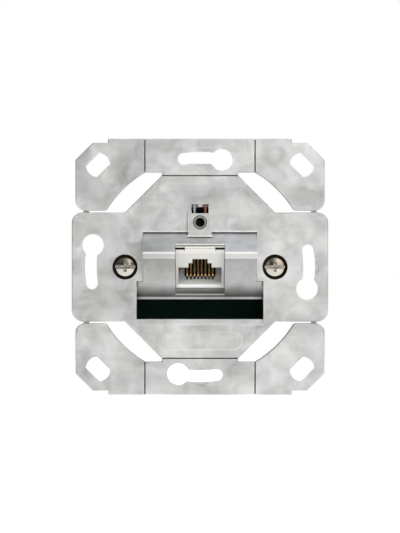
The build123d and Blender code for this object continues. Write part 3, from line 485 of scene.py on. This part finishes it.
# The hood's zinc is a darker copy of castZinc, as painted shade for its slopes, with the painted ridge highlights
# and slope shade of hoodTones
hoodZinc = dict(
    castZinc, colour=(0.50, 0.505, 0.485), secondColour=(0.50, 0.50, 0.51), edge=0.00015, paintedShade=0.6,
    ridgeNormal=(0.0, -0.914, 0.406), ridgeSpread=0.06, ridgeColour=(1.0, 1.0, 0.99),
    ridgeLine=(0.00355, 0.00395), lineColour=(0.86, 0.86, 0.85),
    bandLight=(0.0023, 0.0034), bandSoft=0.0001, bandBefore=-0.0062, bandAmount=0.6,
    bandColour=(0.74, 0.74, 0.73),
    highShade=(-0.0040, 0.0022), highAmount=0.46, lowShade=(-0.0050, -0.0083), lowAmount=0.90,
    lipFrom=-0.00832, lipShade=(-0.0090, -0.00836), lipSoft=0.00005, lipAmount=0.25,
)
# The beads' zinc is a lighter copy of castZinc without painted corner shade: a painted highlight along the edges
# they follow
beadZinc = dict(castZinc, colour=(0.72, 0.72, 0.71), secondColour=(0.72, 0.72, 0.71), paintedShade=0.0, patch=0.1)
whitePlastic = {
    # Lighter edges are wear and a painted edge highlight; the dark tones are painted shade in close corners and
    # deep openings
    "colour": (0.625, 0.625, 0.59), "edgeColour": (0.93, 0.93, 0.91),
    "paintedShadeColour": (0.10, 0.09, 0.075), "cavityColour": (0.22, 0.21, 0.18),
    "roughness": 0.38, "scatter": 0.35, "bump": 0.15, "bumpDepth": 0.00001,
    "patchScale": 300.0, "patch": 0.04, "grainScale": 5000.0, "grain": 0.02,
    "edge": 0.00015, "wearAndHighlight": 0.4,
    "paintedShadeReach": 0.0008, "paintedShade": 0.97, "paintedShadeStart": 0.38, "paintedShadeFull": 0.62,
    "cavityReach": 0.006, "cavity": 0.95, "cavityStart": 0.62, "cavityFull": 0.92,
}
jackPlastic = dict(
    # A dark line of painted shade along the seam across the face
    whitePlastic, seam=(0.00500, 0.00512), seamSoft=0.00006, seamBefore=-0.0005, seamHalf=0.00415,
    seamAmount=0.55, pocketColour=(0.018, 0.014, 0.010),
    # pockets and slits painted dark as shade: lowest, highest, nearest to the middle and farthest from it
    pockets=((0.00478, 0.00521, 0.00420, 0.00664), (0.00448, 0.00521, 0.00418, 0.00438)),
    # bands of painted shade over the top strip and painted light on the mouth's lower lip: lowest, highest,
    # softness, amount and colour
    tones=((0.00540, 0.00598, 0.0001, 0.85, (0.30, 0.30, 0.285)),
           (-0.0070, -0.0052, 0.0009, 0.9, (0.80, 0.80, 0.78))),
)
blockPlastic = dict(whitePlastic, colour=(0.80, 0.79, 0.72))
darkPlastic = dict(
    whitePlastic, scatter=0.0, specular=0.15, colour=(0.025, 0.018, 0.014), edgeColour=(0.05, 0.04, 0.03),
    paintedShadeColour=(0.01, 0.008, 0.006), cavityColour=(0.01, 0.008, 0.006),
)
boardMask = {
    # Lighter edges are wear and a painted edge highlight; the dark tones are painted shade in close corners and
    # deep openings
    "colour": (0.0055, 0.021, 0.013), "edgeColour": (0.02, 0.04, 0.03),
    "paintedShadeColour": (0.002, 0.004, 0.003), "cavityColour": (0.002, 0.006, 0.004),
    "roughness": 0.55, "specular": 0.04, "bump": 0.2, "bumpDepth": 0.00002,
    "patchScale": 400.0, "patch": 0.6, "grainScale": 3000.0, "grain": 0.4,
    "edge": 0.0001, "wearAndHighlight": 0.3,
    "paintedShadeReach": 0.002, "paintedShade": 0.5, "paintedShadeStart": 0.2, "paintedShadeFull": 0.9,
    "cavityReach": 0.006, "cavity": 0.4, "cavityStart": 0.3, "cavityFull": 1.0,
}
screwNickel = {
    # Lighter edges are wear and a painted edge highlight, and the dark tone is painted shade in close corners
    "colour": (0.62, 0.58, 0.52), "edgeColour": (0.84, 0.80, 0.73), "paintedShadeColour": (0.05, 0.035, 0.025),
    "metallic": 1.0, "roughness": 0.20, "bump": 0.25, "bumpDepth": 0.00001,
    "lineScale": 900.0, "lines": 0.3, "edge": 0.0001, "wearAndHighlight": 0.6,
    "paintedShadeReach": 0.0009, "paintedShade": 0.95, "paintedShadeStart": 0.3, "paintedShadeFull": 0.8,
}
# The front screws carry a painted dark reflection on the upper half of their domes
frontNickel = dict(
    screwNickel, colour=(0.50, 0.47, 0.42), upperFrom=(0.0002, 0.0008), upperBefore=0.0, upperAmount=0.75,
    upperColour=(0.20, 0.17, 0.13),
)
contactGold = dict(
    screwNickel, colour=(0.78, 0.50, 0.20), edgeColour=(0.90, 0.70, 0.42), paintedShadeColour=(0.16, 0.07, 0.02),
    paintedShade=0.8, roughness=0.42,
)
tinnedBronze = dict(screwNickel, colour=(0.66, 0.64, 0.60), roughness=0.35)
shieldSheet = dict(screwNickel, colour=(0.62, 0.60, 0.56), roughness=0.32, lines=0.2)
clipTin = dict(
    # A painted highlight on its front and painted shade in its middle
    tinnedBronze, colour=(0.50, 0.49, 0.47), paintedLightColour=(0.90, 0.89, 0.87), paintedLightBefore=0.0002,
    darkHalf=0.0011, darkColour=(0.015, 0.013, 0.012),
    copperColour=(0.30, 0.15, 0.11), copperAcross=(0.0, 0.0012),
)

materials = {
    "zinc_casting": castMaterial("castZinc", castZinc),
    "white_plastic": mouldedMaterial("whitePlastic", whitePlastic),
    "block_plastic": mouldedMaterial("blockPlastic", blockPlastic),
    "dark_plastic": mouldedMaterial("darkPlastic", darkPlastic),
    "board_green": mouldedMaterial("boardMask", boardMask),
    "screw_steel": sheetMaterial("screwNickel", screwNickel),
    "contact_gold": sheetMaterial("contactGold", contactGold),
    "tinned_bronze": sheetMaterial("tinnedBronze", tinnedBronze),
    "shield_sheet": sheetMaterial("shieldSheet", shieldSheet),
}
slotOf = {row["node"]: row["material_slot"] for row in frame["record"]["subparts"]}
ownFinish = {
    "front_shell": castMaterial("hoodZinc", hoodZinc),
    "earth_clip": clipMaterial("clipTin", clipTin),
    "jack_housing": mouldedMaterial("jackPlastic", jackPlastic),
}
beadMaterial = castMaterial("beadZinc", beadZinc)
headMaterial = sheetMaterial("frontNickel", frontNickel)
for name, node in nodes.items():
    node.data.materials.clear()
    node.data.materials.append(ownFinish.get(name, materials[slotOf[name]]))
print("materials on", len(nodes), "nodes")


# Front screws

screwHead = {
    "dome": 0.5 * mm, "rimRound": 0.4 * mm, "slotWidth": 0.85 * mm, "slotDepth": 0.9 * mm,
    "armWidth": 0.8 * mm, "armLength": 1.35 * mm, "crossDepth": 1.5 * mm, "crossTaper": 0.45,
    "wall": 0.07 * mm, "seat": 0.4 * mm, "underRecess": 0.2 * mm,
    # the tip's radius and length are shares of the shank's radius
    "shankRadius": 1.48 * mm, "tipRadius": 0.8, "tipLength": 0.2,
    "around": 288, "across": 84, "rimSteps": 12,
}


def addObject(name, data):
    holder = bpy.data.objects.new(name, data)
    bpy.context.scene.collection.objects.link(holder)
    return holder


def meshFrom(name, points, faces, smooth=True):
    mesh = bpy.data.meshes.new(name)
    mesh.from_pydata(points, [], faces)
    mesh.polygons.foreach_set("use_smooth", np.full(len(mesh.polygons), smooth))
    mesh.update()
    return addObject(name, mesh)


def smoothStep(value):
    value = np.clip(value, 0.0, 1.0)
    return value * value * (3.0 - 2.0 * value)


def makeScrew(name, node, values):
    # Rings about the axis: a low dome less the slot and cross, a round rim, the underside and the shank.
    # The dome lies dome * (r / flat)^2 behind the top at radius r, up to the rim's rounding at flat, and a
    # recess falls off over a thin wall.
    low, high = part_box(node)
    middleX, middleZ = (low.x + high.x) / 2, (low.z + high.z) / 2
    radius = (high.x - low.x) / 2
    shank, wall, reach = values["shankRadius"], values["wall"], values["armLength"]
    top, seat, tip = low.y, values["seat"], high.y
    flat = radius - values["rimRound"]
    disc = np.linspace(0.0, flat, values["across"])[1:]
    turn = np.linspace(0.0, math.pi / 2, values["rimSteps"])[1:]
    rimR = flat + values["rimRound"] * np.sin(turn)
    rimY = top + values["dome"] + values["rimRound"] * (1.0 - np.cos(turn))
    rings = np.concatenate([disc, rimR, [radius, shank, shank, shank * values["tipRadius"]]])
    depth = np.concatenate([np.full(disc.size, top), rimY, [seat, seat, tip - shank * values["tipLength"], tip]])
    angle = np.linspace(0.0, 2.0 * math.pi, values["around"], endpoint=False)
    r, a = np.meshgrid(rings, angle, indexing="ij")
    x, z = r * np.cos(a), r * np.sin(a)
    ring = np.arange(rings.size)[:, None]
    y = np.repeat(depth[:, None], values["around"], axis=1)
    y = np.where(ring < disc.size, y + values["dome"] * (r / flat) ** 2, y)
    slot = smoothStep((values["slotWidth"] / 2 - np.abs(z)) / wall + 0.5)
    arm = smoothStep((values["armWidth"] / 2 - np.abs(x)) / wall + 0.5)
    arm = arm * smoothStep((reach - np.abs(z)) / wall + 0.5)
    side = smoothStep((reach - np.abs(x)) / wall + 0.5) * slot
    cone = values["crossDepth"] * (1.0 - values["crossTaper"] * r / reach)
    sunk = np.maximum(slot * values["slotDepth"], np.maximum(arm, side) * np.maximum(cone, 0.0))
    floorY = np.minimum(top + sunk, seat - values["underRecess"])
    y = np.where(ring < disc.size + turn.size, np.maximum(y, floorY), y)
    points = np.stack([middleX + x, y, middleZ + z], axis=-1).reshape(-1, 3)
    centre = np.array([[middleX, top + values["crossDepth"], middleZ], [middleX, tip, middleZ]])
    count, rows = values["around"], rings.size
    i = np.arange(count)
    k = (i + 1) % count
    first, end = count * rows, count * (rows - 1)
    base = (np.arange(rows - 1) * count)[:, None]
    cap = np.stack([np.full(count, first), i, k], axis=1)
    quads = np.stack([base + i, base + count + i, base + count + k, base + k], axis=-1).reshape(-1, 4)
    foot = np.stack([end + i, np.full(count, first + 1), end + k], axis=1)
    faces = [row for part in (cap, quads, foot) for row in part[:, ::-1].tolist()]
    piece = meshFrom(name, np.concatenate([points, centre]).tolist(), faces)
    piece.data.materials.append(headMaterial)
    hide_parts(node)
    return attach(piece, "root")


for side in ("left", "right"):
    makeScrew(f"frameScrew_{side}", f"frame_screw_{side}", screwHead)
print("front screws cut")


# Cast beads that close the window's top edge and the lug's foot on the hood's roof

edgeBead = {
    "tilt": math.radians(42.0), "ridgeTop": 4.0 * mm, "proud": 0.05 * mm, "rise": 0.36 * mm,
    "sink": 0.1 * mm, "drop": 0.03 * mm, "steps": 10,
    # name, left end, right end, depth of the edge it follows and its height
    "runs": (
        ("windowBead_left", -15.65 * mm, -3.2 * mm, -1.8 * mm, 9.6 * mm),
        ("windowBead_right", 3.2 * mm, 15.65 * mm, -1.8 * mm, 9.6 * mm),
        ("lugBead", -3.475 * mm, 3.475 * mm, -3.0 * mm, 8.3 * mm),
    ),
}


def extrudeBead(name, section, left, right):
    # The closed section, rows of depth and height, is drawn from left to right and capped
    count = len(section)
    points = [(x, *row) for x in (left, right) for row in section.tolist()]
    faces = [(i, (i + 1) % count, (i + 1) % count + count, i + count) for i in range(count)]
    faces += [tuple(range(count))[::-1], tuple(range(count, 2 * count))]
    piece = meshFrom(name, points, faces, smooth=False)
    piece.data.materials.append(beadMaterial)
    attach(piece, "root")


def makeBeads(values):
    # Section: proud * sin(180 t) in front of the face it follows, then level back to the hood's roof, whose
    # depth at height z is ridge + (z - ridgeTop) / tan(tilt)
    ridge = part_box("front_shell")[0].y
    for name, left, right, edgeY, edgeZ in values["runs"]:
        t = np.linspace(0.0, 1.0, values["steps"])
        z = edgeZ + values["rise"] - t * (values["rise"] + values["drop"])
        y = edgeY - values["proud"] * np.sin(math.pi * t)
        footY = ridge + (edgeZ - values["ridgeTop"]) / math.tan(values["tilt"]) + values["sink"]
        back = np.array([[footY, edgeZ - values["drop"]], [footY, edgeZ + values["sink"]],
                         [edgeY + values["sink"], edgeZ + values["rise"]]])
        extrudeBead(name, np.concatenate([np.stack([y, z], axis=1), back]), left, right)


makeBeads(edgeBead)

# Half round bead on the hood's collar, under the jack

jackSill = {
    "half": 6.75 * mm, "top": -7.36 * mm, "bottom": -7.68 * mm, "proud": 0.10 * mm, "back": 0.3 * mm,
    "rayFrom": -20.0 * mm, "steps": 10,
}


def makeSill(values):
    # y = collar - proud * sin(180 t) from the top to the bottom, where the collar is the first surface of
    # the hood that a line from the front meets at the height
    shell = nodes["front_shell"]
    inside = shell.matrix_world.inverted()
    t = np.linspace(0.0, 1.0, values["steps"])
    z = values["top"] + t * (values["bottom"] - values["top"])
    hits = [shell.ray_cast(inside @ Vector((0.0, values["rayFrom"], height)), Vector((0.0, 1.0, 0.0)))
            for height in z.tolist()]
    collar = np.array([(shell.matrix_world @ hit[1]).y for hit in hits])
    y = collar - values["proud"] * np.sin(math.pi * t)
    backY = collar.max() + values["back"]
    section = np.concatenate([np.stack([y, z], axis=1), [[backY, z[-1]], [backY, z[0]]]])
    extrudeBead("jackSill", section, -values["half"], values["half"])


makeSill(jackSill)
print("edge beads laid")


# Floor, world, lamps and camera

studio = {
    "floorDrop": 0.075, "floorSize": 3.0, "floorColour": (0.86, 0.86, 0.86), "floorRough": 0.6,
    "floorGlow": 0.50, "floorMirrored": 0.10, "worldFill": 0.68, "fillRise": 0.35,
    # what metal mirrors is lighter to the right, by lean for each unit of X up to leanLimit
    "lean": 2.8, "leanLimit": 0.16,
    # its tones by the upward part of the direction: floor, front, dark gap, overhead
    "mirrored": (
        (-1.0, (0.34, 0.34, 0.33)), (0.0, (0.57, 0.57, 0.565)), (0.10, (0.53, 0.53, 0.525)),
        (0.20, (0.16, 0.14, 0.12)), (0.40, (0.18, 0.17, 0.16)), (0.54, (0.60, 0.63, 0.66)),
        (1.0, (0.60, 0.63, 0.68)),
    ),
    # name, place, size, power and whether metal mirrors it
    "lamps": (
        ("frontLamp", (0.42, -0.86, 0.38), 0.9, 1.2, True),
        ("nearLamp", (0.17, -0.26, 0.16), 0.2, 0.20, True),
        ("topLamp", (0.05, -0.36, 0.92), 0.4, 1.2, True),
        ("rakeLamp", (0.03, -0.76, 0.62), 0.3, 4.6, False),
        ("backLamp", (-0.4, 0.8, 0.5), 0.8, 2.5, True),
    ),
}
view = {
    "distance": 0.43, "pictureHigh": 0.1460, "aimX": 0.0, "aimZ": 0.00013, "platePlane": -0.0018,
    "clipNear": 0.01, "clipFar": 20.0,
}


def makeFloor(values):
    lowest = cadBox[0].z - values["floorDrop"]
    half = values["floorSize"] / 2
    corners = [(-half, -half, lowest), (half, -half, lowest), (half, half, lowest), (-half, half, lowest)]
    floor = meshFrom("studioFloor", corners, [(0, 1, 2, 3)], smooth=False)
    material, tree, shader = startMaterial("paleFloor", {"roughness": values["floorRough"]})
    shader.inputs["Base Color"].default_value = (*values["floorColour"], 1.0)
    # The glow lifts the lit floor to white for the camera, and a part of it for what metal mirrors
    path = tree.nodes.new("ShaderNodeLightPath")
    seen = addMath(tree, "ADD", path.outputs["Is Camera Ray"], path.outputs["Is Transmission Ray"], clamp=True)
    seen = product(tree, seen, values["floorGlow"])
    mirrored = product(tree, path.outputs["Is Glossy Ray"], values["floorMirrored"])
    glow = tree.nodes.new("ShaderNodeEmission")
    tree.links.new(addMath(tree, "MAXIMUM", seen, mirrored), glow.inputs["Strength"])
    both = tree.nodes.new("ShaderNodeAddShader")
    tree.links.new(shader.outputs[0], both.inputs[0])
    tree.links.new(glow.outputs[0], both.inputs[1])
    output = next(node for node in tree.nodes if node.type == "OUTPUT_MATERIAL")
    tree.links.new(both.outputs[0], output.inputs["Surface"])
    floor.data.materials.append(material)


def makeWorld(values):
    # White for the camera, a grey that grows lighter upwards for what is lit, and tones for what mirrors
    world = bpy.data.worlds.new("studioWorld")
    bpy.context.scene.world = world
    world.use_nodes = True
    tree = world.node_tree
    tree.nodes.clear()
    path = tree.nodes.new("ShaderNodeLightPath")
    toward = splitVector(tree, tree.nodes.new("ShaderNodeTexCoord").outputs["Generated"])
    ramp = tree.nodes.new("ShaderNodeValToRGB")
    stops = ramp.color_ramp.elements
    # The ramp runs from 0, straight down, to 1, straight up
    while len(stops) < len(values["mirrored"]):
        stops.new(0.5)
    for stop, (height, tone) in zip(stops, values["mirrored"]):
        stop.position = (height + 1.0) / 2.0
        stop.color = (*tone, 1.0)
    tree.links.new(total(tree, product(tree, toward["Z"], 0.5), 0.5), ramp.inputs["Fac"])
    aside = addMath(tree, "MINIMUM", toward["X"], values["leanLimit"])
    aside = addMath(tree, "MAXIMUM", aside, -values["leanLimit"])
    leaning = total(tree, product(tree, aside, values["lean"]), 1.0)
    tones = timesTone(tree, ramp.outputs["Color"], leaning)
    mirrored = addMath(tree, "ADD", path.outputs["Is Glossy Ray"], path.outputs["Is Transmission Ray"], clamp=True)
    fill = total(tree, product(tree, toward["Z"], values["fillRise"]), values["worldFill"])
    colour = mixColour(tree, mirrored, greyOf(tree, fill), tones)
    colour = mixColour(tree, path.outputs["Is Camera Ray"], colour, (1.0, 1.0, 1.0))
    background = tree.nodes.new("ShaderNodeBackground")
    tree.links.new(colour, background.inputs["Color"])
    output = tree.nodes.new("ShaderNodeOutputWorld")
    tree.links.new(background.outputs[0], output.inputs["Surface"])


def makeLamps(values):
    for name, place, size, power, mirrored in values["lamps"]:
        lamp = bpy.data.lights.new(name, "AREA")
        lamp.size = size
        lamp.energy = power
        holder = addObject(name, lamp)
        holder.location = place
        holder.rotation_euler = (-holder.location).to_track_quat("-Z", "Y").to_euler()
        holder.visible_glossy = mirrored
        holder.visible_camera = False


def makeCamera(values):
    camera = bpy.data.cameras.new("photoCamera")
    camera.lens = camera.sensor_width * values["distance"] / values["pictureHigh"]
    camera.clip_start, camera.clip_end = values["clipNear"], values["clipFar"]
    holder = addObject("photoCamera", camera)
    holder.location = (values["aimX"], values["platePlane"] - values["distance"], values["aimZ"])
    holder.rotation_euler = (math.pi / 2, 0.0, 0.0)
    bpy.context.scene.camera = holder


makeFloor(studio)
makeWorld(studio)
makeLamps(studio)
makeCamera(view)
bpy.context.scene.view_settings.view_transform = "Standard"
print("studio and camera set")
